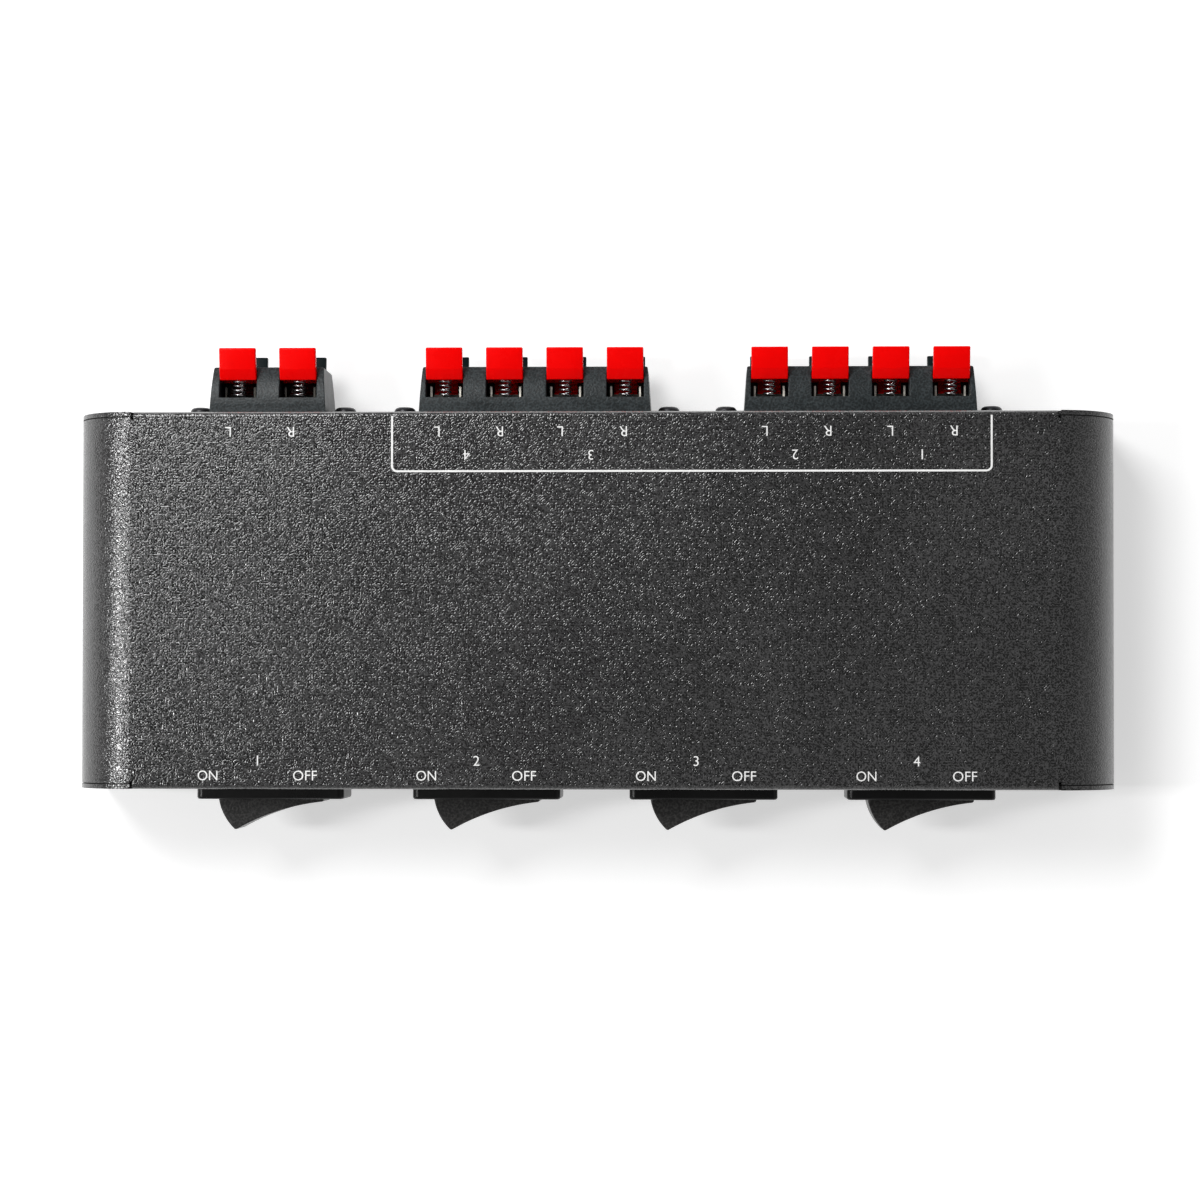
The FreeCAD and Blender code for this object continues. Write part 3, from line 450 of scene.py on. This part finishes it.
# %% The finishes by the record's slots
finishes = {
    "cover_powder_coat": finish(
        "pebbled_powder_coat", (0.028, 0.0278, 0.0282), (0.11, 0.15),
        texture=(pebbles, 1800.0), bump=0.000058, speck=1.0, dusty=0.03, patch=25.0,
        Specular_IOR_Level=0.9,
    ),
    "base_powder_coat": finish(
        "plain_powder_coat", (0.024, 0.024, 0.025), (0.34, 0.42),
        texture=(pebbles, 1300.0), bump=0.00010, tint=0.2, dusty=0.02, patch=25.0,
        Specular_IOR_Level=0.8,
    ),
    "foot_rubber": finish(
        "foot_rubber", (0.018, 0.018, 0.018), (0.62, 0.75),
        texture=(grain, 2500.0), bump=0.00003, tint=0.2, dusty=0.15, Specular_IOR_Level=0.3,
    ),
    "blackened_steel": finish(
        "blackened_steel", (0.030, 0.030, 0.033), (0.30, 0.42), metallic=0.7,
        texture=(grain, 5000.0), bump=0.00001, patch=400.0,
    ),
    "zinc_steel": finish(
        "zinc_steel", (0.52, 0.53, 0.55), (0.25, 0.38), metallic=1.0,
        texture=(grain, 5000.0), bump=0.00001, patch=400.0,
    ),
    "terminal_plastic": finish(
        "terminal_plastic", (0.022, 0.028, 0.030), (0.32, 0.42),
        texture=(pebbles, 1500.0), bump=0.000025, speck=0.5, dusty=0.05, patch=90.0, edge=0.00035,
        Specular_IOR_Level=0.25,
    ),
    "nickel_plate": finish(
        "nickel_plate", (0.75, 0.71, 0.64), (0.30, 0.45), metallic=1.0,
        texture=(grain, 3000.0), bump=0.000006, tint=0.15, dusty=0.0, patch=500.0,
        # Painted shade: darkened to 0.05 below 4 mm above the blocks' middle, deep in the pockets,
        # and to 0.08 left of x = -50 mm, across the input block.
        painted_shade=[("Z", terminal_z + 4.0 * MM, 0.05), ("X", -50.0 * MM, 0.08)],
    ),
    "spring_steel": finish(
        "spring_steel", (0.50, 0.50, 0.51), (0.22, 0.32), metallic=1.0,
        tint=0.1, dusty=0.0, patch=900.0,
    ),
    "red_plastic": red_moulding("red_plastic", 0.30),
    "black_lever_plastic": finish(
        "black_lever_plastic", (0.002, 0.007, 0.008), (0.26, 0.36),
        texture=(grain, 1800.0), bump=0.000012, dusty=0.0, patch=120.0, Specular_IOR_Level=0.08,
    ),
    "switch_plastic": finish(
        "switch_plastic", (0.0068, 0.0068, 0.0068), (0.26, 0.34),
        texture=(grain, 3500.0), bump=0.000012, dusty=0.012, patch=80.0, edge=0.0003,
        Specular_IOR_Level=0.25,
    ),
    "rocker_plastic": finish(
        "rocker_plastic", (0.021, 0.0205, 0.020), (0.30, 0.38),
        texture=(pebbles, 1500.0), bump=0.00002, speck=0.6, dusty=0.05, patch=80.0, edge=0.0002,
        Specular_IOR_Level=0.35,
    ),
    "plunger_plastic": finish(
        "plunger_plastic", (0.78, 0.77, 0.72), (0.3, 0.4), dusty=0.0, tint=0.04,
    ),
    "tab_brass": finish(
        "silvered_brass", (0.72, 0.62, 0.36), (0.2, 0.35), metallic=1.0,
        texture=(grain, 3000.0), bump=0.00001, patch=300.0,
    ),
    "board_laminate": finish(
        "board_laminate", (0.42, 0.27, 0.10), (0.4, 0.55),
        texture=(grain, 900.0), bump=0.00002, tint=0.12, patch=200.0,
    ),
    "solder": finish(
        "solder", (0.60, 0.60, 0.61), (0.15, 0.40), metallic=1.0,
        texture=(grain, 1500.0), bump=0.00004, patch=900.0,
    ),
    "wire_insulation": finish("wire_insulation", (0.45, 0.03, 0.02), (0.35, 0.5), tint=0.1),
}
print(f"{len(finishes)} finishes")

# %% [markdown]
# The cover has two painted marks. At each rolled end the sheet meets the folded
# panels in a seam that is too narrow for light to get in, so its shade is painted as a dark
# matt line. And along the rear bend a painted highlight stands for the light that the bend
# catches from behind, a fine pale line from above.

# %% The cover's seams and its rear bend
roll = 12.8 * MM
seam_from_panel, seam_half = 1.05 * MM, 0.16 * MM
# Painted light on the cover: a pale highlight for the rear bend and a near-black shade for the
# seams.
bend_highlight_colour, seam_shade_colour = (0.26, 0.26, 0.26, 1.0), (0.002, 0.002, 0.002, 1.0)


def mark_cover(material):
    """Paints the seams' shade and the rear bend's highlight into the cover's colour, and the seams
    into its roughness.
    """
    tree = material.node_tree
    shader = tree.nodes["Principled BSDF"]
    place = tree.nodes.new("ShaderNodeSeparateXYZ")
    tree.links.new(tree.nodes.new("ShaderNodeTexCoord").outputs["Object"], place.inputs[0])
    turned = tree.nodes.new("ShaderNodeSeparateXYZ")
    tree.links.new(tree.nodes.new("ShaderNodeNewGeometry").outputs["Normal"], turned.inputs[0])
    # Painted shade: a thin near-black line along each seam on the rolled ends.
    flat = cover_high.x - roll
    ends = spread(tree, maths(tree, "ABSOLUTE", place.outputs["X"]), flat, flat + 0.2 * MM)
    from_middle = maths(tree, "ABSOLUTE", maths(tree, "SUBTRACT", place.outputs["Y"], case_y))
    seam_at = (rear_y - front_y) / 2 - seam_from_panel
    from_seam = maths(tree, "ABSOLUTE", maths(tree, "SUBTRACT", from_middle, seam_at))
    in_seam = spread(tree, from_seam, seam_half / 2, seam_half, 1.0, 0.0)
    seam = maths(tree, "MULTIPLY", ends, in_seam)
    # Painted highlight: where the bend faces rear and up, the colour goes toward the pale one.
    rearward = spread(tree, turned.outputs["Y"], 0.60, 0.80)
    upward = spread(tree, turned.outputs["Z"], 0.15, 0.35)
    bend = maths(tree, "MULTIPLY", maths(tree, "MULTIPLY", rearward, upward), 0.8)
    colour = shader.inputs["Base Color"].links[0].from_socket
    colour = blend(tree, bend, colour, bend_highlight_colour)
    colour = blend(tree, seam, colour, seam_shade_colour)
    tree.links.new(colour, shader.inputs["Base Color"])
    rough = shader.inputs["Roughness"].links[0].from_socket
    tree.links.new(maths(tree, "MULTIPLY_ADD", seam, 0.7, rough), shader.inputs["Roughness"])


mark_cover(finishes["cover_powder_coat"])


# %% Every node dressed in its slot's finish
def dress(piece, material):
    """Gives a piece one material in place of any that it has."""
    piece.data.materials.clear()
    piece.data.materials.append(material)


slot_of = {row["node"]: row["material_slot"] for row in frame["record"]["subparts"]}
for name, node in nodes.items():
    dress(node, finishes[slot_of[name]])
print(f"{len(nodes)} nodes dressed")

# %% [markdown]
# ## Springs
#
# Behind each lever sits a small compression spring of hard-drawn wire. The real one has
# three quarters of a turn closed flat at each end and open turns between. It is one
# tube carried along a helix whose pitch changes: the wire's own thickness per turn at
# the ends, and whatever fills the gap in the middle.

# %% Springs: the helix as a tube
spring_radius = 1.2 * MM
wire_radius = 0.20 * MM
spring_start, spring_end = 2.55 * MM, 7.77 * MM
spring_height = 5.4 * MM
open_turns, closed_turns = 4.5, 0.75


def coil(points_per_turn=22, sides=8):
    """A tube round a helix along Y: its pitch is one wire at the ends, and even between.

    Gives the points, as rings of sides points, and the quads between the rings.
    """
    turns = open_turns + 2 * closed_turns
    t = np.linspace(0.0, turns, int(turns * points_per_turn) + 1)
    length = spring_end - spring_start - 2 * wire_radius
    flat = 2 * wire_radius * 1.02
    steep = (length - 2 * closed_turns * flat) / open_turns
    knots = [0.0, closed_turns, closed_turns + open_turns, turns]
    rises = np.cumsum([0.0, closed_turns * flat, open_turns * steep, closed_turns * flat])
    along = spring_start + wire_radius + np.interp(t, knots, rises)
    angle = 2 * np.pi * t
    centre = np.stack([spring_radius * np.cos(angle), along, spring_radius * np.sin(angle)], 1)
    ahead = np.gradient(centre, axis=0)
    ahead /= np.linalg.norm(ahead, axis=1, keepdims=True)
    out = np.stack([np.cos(angle), 0 * angle, np.sin(angle)], 1)
    side = np.cross(ahead, out)
    side /= np.linalg.norm(side, axis=1, keepdims=True)
    out = np.cross(side, ahead)
    turn = np.linspace(0, 2 * np.pi, sides, endpoint=False)[None, :, None]
    around = np.cos(turn) * out[:, None] + np.sin(turn) * side[:, None]
    rings = centre[:, None] + wire_radius * around
    ends = np.stack([centre[0], centre[-1]])
    verts = np.concatenate([rings.reshape(-1, 3), ends])
    n = len(t)
    i, j = np.meshgrid(np.arange(n - 1), np.arange(sides), indexing="ij")
    k = (j + 1) % sides
    quads = np.stack([i * sides + j, i * sides + k, (i + 1) * sides + k, (i + 1) * sides + j], -1)
    j = np.arange(sides)
    k = (j + 1) % sides
    first = np.stack([k, j, np.full(sides, n * sides)], 1)
    last = np.stack([(n - 1) * sides + j, (n - 1) * sides + k, np.full(sides, n * sides + 1)], 1)
    return verts, [*quads.reshape(-1, 4).tolist(), *first.tolist(), *last.tolist()]


def outward(piece, smooth_angle=35.0):
    """Merges doubles, turns all faces outwards and smooths the shading below an angle."""
    work = bmesh.new()
    work.from_mesh(piece.data)
    bmesh.ops.remove_doubles(work, verts=work.verts, dist=1e-7)
    bmesh.ops.recalc_face_normals(work, faces=work.faces)
    work.to_mesh(piece.data)
    work.free()
    piece.data.shade_smooth()
    piece.data.set_sharp_from_angle(angle=math.radians(smooth_angle))
    return piece


# %% Springs: one behind each lever
coil_points, coil_faces = coil()
for colour, side in (("red", 1), ("black", -1)):
    for n, x in enumerate(columns):
        at = np.array([x, rear_y, terminal_z + side * spring_height])
        spring = surface(f"{colour}_spring_{n + 1}", coil_points + at, coil_faces)
        outward(spring, 80.0)
        dress(spring, finishes["spring_steel"])
        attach(spring, "case")
        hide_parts(f"{colour}_springs")
        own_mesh(spring)
print(f"{2 * lever_count} springs of {len(coil_points)} points")

# %% [markdown]
# ## Levers
#
# A lever is one small moulding: a thumb tab that bends out over the block, a stem with
# a window for the bare wire, two pins that it turns on, and an arm that clamps the wire
# inside. Moulded plastic has no sharp edge, and the soft edge is what catches the
# light. So each part is a slab whose outline is carried across its width and drawn in
# along a quarter circle at both ends, and a Boolean joins the slabs into one skin.


# %% Levers: a slab with soft edges
def rounded_outline(corners, steps=6):
    """An outline from (a, b, radius) corners: each corner becomes an arc of that radius."""
    corner = np.array([(a, b) for a, b, _ in corners], float)
    radius = np.array([r for _, _, r in corners], float)
    back = np.roll(corner, 1, 0) - corner
    on = np.roll(corner, -1, 0) - corner
    back /= np.linalg.norm(back, axis=1, keepdims=True)
    on /= np.linalg.norm(on, axis=1, keepdims=True)
    half = np.arccos(np.clip((back * on).sum(1), -1, 1)) / 2
    mid = back + on
    mid /= np.linalg.norm(mid, axis=1, keepdims=True)
    middle = corner + mid * (radius / np.sin(half))[:, None]
    swing = np.pi / 2 - half
    across = np.stack([mid[:, 1], -mid[:, 0]], 1)
    across *= np.sign((across * back).sum(1))[:, None]
    t = np.linspace(1, -1, steps)[None, :, None] * swing[:, None, None]
    arc = -np.cos(t) * mid[:, None] + np.sin(t) * across[:, None]
    return (middle[:, None] + arc * radius[:, None, None]).reshape(-1, 2) * MM


def slab(name, corners, width, soft):
    """A closed slab: the outline in (y, z) carried along X, drawn in by soft at both ends.

    a goes from 0 at the outer face to a quarter turn at the side. The station there is
    at half - soft * (1 - cos a), and the outline is drawn in by soft * (1 - sin a).
    """
    outline = rounded_outline(corners)
    keep = np.linalg.norm(outline - np.roll(outline, 1, 0), axis=1) > 1e-8
    outline = outline[keep]
    along = np.roll(outline, -1, 0) - np.roll(outline, 1, 0)
    along /= np.linalg.norm(along, axis=1, keepdims=True)
    normal = np.stack([along[:, 1], -along[:, 0]], 1)
    after = np.roll(outline, -1, 0)
    area = (outline[:, 0] * after[:, 1] - outline[:, 1] * after[:, 0]).sum()
    normal *= np.sign(area)
    a = np.linspace(0, np.pi / 2, 5)
    half, soft = width * MM / 2, soft * MM
    inset = soft * (1 - np.sin(a))
    x = half - soft * (1 - np.cos(a))
    stations = np.concatenate([-x, x[::-1]])
    draws = np.concatenate([inset, inset[::-1]])
    rings = outline[None] - draws[:, None, None] * normal[None]
    count, n = len(stations), len(outline)
    xs = np.broadcast_to(stations[:, None, None], (count, n, 1))
    verts = np.concatenate([xs, rings], 2).reshape(-1, 3)
    i, j = np.meshgrid(np.arange(count - 1), np.arange(n), indexing="ij")
    k = (j + 1) % n
    quads = np.stack([i * n + j, i * n + k, (i + 1) * n + k, (i + 1) * n + j], -1).reshape(-1, 4)
    caps = [list(range(n))[::-1], [(count - 1) * n + v for v in range(n)]]
    return outward(surface(name, verts, [*quads.tolist(), *caps]), 30.0)


def rod(name, radius, half, y, z, sides=32, soft=0.08):
    """A closed rod along X: a circle carried from end to end, drawn in at both ends."""
    turn = np.linspace(0, 2 * np.pi, sides, endpoint=False)
    stations = np.array([-half, -half + soft, half - soft, half]) * MM
    radii = np.array([radius - soft, radius, radius, radius - soft]) * MM
    ring = np.stack([np.cos(turn), np.sin(turn)], 1)
    yz = radii[:, None, None] * ring[None] + np.array([y, z]) * MM
    xs = np.broadcast_to(stations[:, None, None], (4, sides, 1))
    verts = np.concatenate([xs, yz], 2).reshape(-1, 3)
    i, j = np.meshgrid(np.arange(3), np.arange(sides), indexing="ij")
    k = (j + 1) % sides
    quads = np.stack([i * sides + j, i * sides + k, (i + 1) * sides + k, (i + 1) * sides + j], -1)
    caps = [list(range(sides))[::-1], [3 * sides + v for v in range(sides)]]
    return outward(surface(name, verts, [*quads.reshape(-1, 4).tolist(), *caps]), 30.0)


def boolean(base, tools, operation):
    """Joins or cuts base with the tools, exactly, and removes the tools."""
    for tool in tools:
        step = base.modifiers.new("boolean", "BOOLEAN")
        step.operation = operation
        step.solver = "EXACT"
        step.object = tool
    bpy.context.view_layer.update()
    graph = bpy.context.evaluated_depsgraph_get()
    shape = bpy.data.meshes.new_from_object(base.evaluated_get(graph))
    base.modifiers.clear()
    base.data = shape
    for tool in tools:
        bpy.data.objects.remove(tool)
    return base


# %% Levers: outlines in (u, w), out from the rear panel and up from the block's middle
lever_width, stem_width = 7.7, 4.9
pivot_u, pivot_w = 8.1, 1.6
hub_radius, pin_radius, pin_length = 1.1, 0.75, 0.6
head = [
    (7.9, 4.9, 0.15), (7.9, 6.85, 0.1), (7.5, 7.05, 0.1), (7.5, 7.4, 0.2), (9.7, 8.25, 0.9),
    (14.2, 8.8, 0.35), (14.2, 7.4, 0.45), (10.0, 6.9, 0.5), (8.8, 6.5, 0.3), (8.8, 4.9, 0.15),
]
stem = [(7.8, 1.6, 0.0), (7.8, 5.4, 0.0), (8.8, 5.4, 0.0), (8.8, 1.6, 0.0)]
arm = [
    (4.1, 1.55, 0.2), (4.1, 3.0, 0.2), (5.0, 3.0, 0.2),
    (5.4, 2.3, 0.1), (8.1, 2.3, 0.0), (8.1, 1.1, 0.0),
]
lever = slab("lever_form", head, lever_width, 0.22)
joined = [
    slab("lever_stem", stem, stem_width, 0.15),
    slab("lever_arm", arm, stem_width, 0.10),
    rod("lever_hub", hub_radius, stem_width / 2, pivot_u, pivot_w),
    rod("lever_pins", pin_radius, lever_width / 2 + pin_length, pivot_u, pivot_w),
]
boolean(lever, joined, "UNION")
window_sides, window_radius, window_w = 32, 1.1, 3.5
window_from, window_to = 6.0 * MM, 10.0 * MM
turn = np.linspace(0, 2 * np.pi, window_sides, endpoint=False)
ring = np.stack(
    [window_radius * np.cos(turn), 0 * turn, window_w + window_radius * np.sin(turn)], 1
) * MM
bore = np.concatenate([ring + [0, window_from, 0], ring + [0, window_to, 0]])
j = np.arange(window_sides)
k = (j + 1) % window_sides
sides = np.stack([j, k, window_sides + k, window_sides + j], 1).tolist()
caps = [j[::-1].tolist(), (window_sides + j).tolist()]
window = outward(surface("lever_window", bore, [*sides, *caps]))
boolean(lever, [window], "DIFFERENCE")
lever_points = np.empty(len(lever.data.vertices) * 3)
lever.data.vertices.foreach_get("co", lever_points)
lever_points = lever_points.reshape(-1, 3)
print(f"one lever: {len(lever_points)} points, {len(lever.data.polygons)} faces")

# %% Levers: ten red ones above, ten black ones mirrored below
for colour, side in (("red", 1), ("black", -1)):
    for n, x in enumerate(columns):
        name = f"{colour}_lever_{n + 1}"
        mesh = lever.data.copy()
        placed = lever_points * [1, 1, side] + [x, rear_y, terminal_z]
        mesh.vertices.foreach_set("co", placed.ravel())
        if side < 0:
            mesh.flip_normals()
        mesh.shade_smooth()
        mesh.set_sharp_from_angle(angle=math.radians(35))
        piece = bpy.data.objects.new(f"{colour}_thumb_lever_{n + 1}", mesh)
        bpy.context.scene.collection.objects.link(piece)
        slot = "red_plastic" if side > 0 else "black_lever_plastic"
        # The input block's red levers take the copy with the darker painted shade in the pocket.
        dress(piece, shaded_red if side > 0 and n < 2 else finishes[slot])
        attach(piece, name)
        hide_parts(name)
bpy.data.objects.remove(lever)

# %% [markdown]
# ## Screen printing
#
# The cover is printed in white ink: a fine line that brackets the terminals, a number
# for each pair of speakers, letters for the two channels, and ON and OFF at each
# rocker. Ink on a powder coat is a film a few hundredths of a millimetre thick, so each
# mark is a thin plate that stands on the cover. The rear marks are upside down here,
# because they are read from behind.

# %% Printing: ink
ink = finish(
    "white_ink", (0.93, 0.93, 0.92), (0.45, 0.6),
    texture=(pebbles, 1300.0), bump=0.00003, tint=0.05, dusty=0.0, patch=300.0,
)
film = 0.03 * MM
stroke_trim = -0.004


def print_mark(name, text, x, y, cap, upside_down=False, squeeze=1.0):
    """A line of text as a thin plate, centred on (x, y) of the cover, with capitals cap high."""
    curve = bpy.data.curves.new(name, "FONT")
    curve.body = text
    curve.align_x = "CENTER"
    curve.size = 1.0
    curve.extrude = 0.02
    curve.resolution_u = 4
    curve.offset = stroke_trim
    words = bpy.data.objects.new(name, curve)
    bpy.context.scene.collection.objects.link(words)
    bpy.context.view_layer.update()
    graph = bpy.context.evaluated_depsgraph_get()
    mesh = bpy.data.meshes.new_from_object(words.evaluated_get(graph))
    bpy.data.objects.remove(words)
    points = np.empty(len(mesh.vertices) * 3)
    mesh.vertices.foreach_get("co", points)
    points = points.reshape(-1, 3)
    low, high = points.min(0), points.max(0)
    points -= (low + high) / 2
    size = high - low
    points *= [cap / size[1] * squeeze, cap / size[1], film / size[2]]
    if upside_down:
        points[:, :2] *= -1
    points += [x, y, top_z + film / 2]
    mesh.vertices.foreach_set("co", points.ravel())
    mesh.update()
    piece = bpy.data.objects.new(name, mesh)
    bpy.context.scene.collection.objects.link(piece)
    dress(piece, ink)
    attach(piece, "case")
    return piece


# %% Printing: the bracket line
def ribbon(name, path, width):
    """A flat strip along a path in (x, y) on the cover, as thick as the film."""
    path = np.asarray(path, float)
    along = np.gradient(path, axis=0)
    along /= np.linalg.norm(along, axis=1, keepdims=True)
    across = np.stack([-along[:, 1], along[:, 0]], 1) * width / 2
    low, high = top_z, top_z + film
    n = len(path)
    left, right = path + across, path - across
    rows = [(left, high), (right, high), (right, low), (left, low)]
    verts = np.concatenate([np.column_stack([xy, np.full(n, z)]) for xy, z in rows])
    i = np.arange(n - 1)
    sides = [(a * n, ((a + 1) % 4) * n) for a in range(4)]
    strips = [np.stack([i + a, i + b, i + b + 1, i + a + 1], 1) for a, b in sides]
    faces = np.concatenate(strips).tolist()
    faces += [[0, n, 2 * n, 3 * n], [4 * n - 1, 3 * n - 1, 2 * n - 1, n - 1]]
    piece = outward(surface(name, verts, faces), 30.0)
    dress(piece, ink)
    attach(piece, "case")
    return piece


bracket_left, bracket_right = -41.9 * MM, 82.2 * MM
bracket_front = case_y + 26.75 * MM
bracket_back = rear_y - 1.0 * MM
corner = 1.1 * MM
quarter = np.linspace(0, np.pi / 2, 9)
leave, arrive = corner * (1 - np.cos(quarter)), corner * (1 - np.sin(quarter))
left_bend = np.stack([bracket_left + leave, bracket_front + arrive], 1)
right_bend = np.stack([bracket_right - arrive, bracket_front + leave], 1)
line_start, line_end = [[bracket_left, bracket_back]], [[bracket_right, bracket_back]]
line = np.concatenate([line_start, left_bend, right_bend, line_end])
ribbon("printed_bracket", line, 0.40 * MM)

# %% Printing: numbers, letters, ON and OFF
cap = 2.05 * MM
channel_y, group_y = case_y + 35.0 * MM, case_y + 30.1 * MM
pair_y, switch_y = case_y - 33.3 * MM, case_y - 36.4 * MM
rear_letters = [(-76.1, "L"), (-63.1, "R"), (-32.6, "L"), (-19.6, "R"), (-7.0, "L"), (6.1, "R"),
                (35.4, "L"), (48.4, "R"), (61.3, "L"), (74.4, "R")]
for n, (x, letter) in enumerate(rear_letters):
    print_mark(f"printed_channel_{n + 1}", letter, x * MM, channel_y, cap, True)
rear_numbers = [(-26.4, "4"), (-0.6, "3"), (41.7, "2"), (67.9, "1")]
for x, number in rear_numbers:
    print_mark(f"printed_group_{number}", number, x * MM, group_y, cap, True)
pair_shift, on_shift, off_shift = -1.5, -11.9, 8.4
for n, x in enumerate((-68.25, -22.75, 22.75, 68.25)):
    pair_x, on_x, off_x = (x + pair_shift) * MM, (x + on_shift) * MM, (x + off_shift) * MM
    print_mark(f"printed_pair_{n + 1}", str(n + 1), pair_x, pair_y, cap)
    print_mark(f"printed_on_{n + 1}", "ON", on_x, switch_y, cap, squeeze=0.94)
    print_mark(f"printed_off_{n + 1}", "OFF", off_x, switch_y, cap)
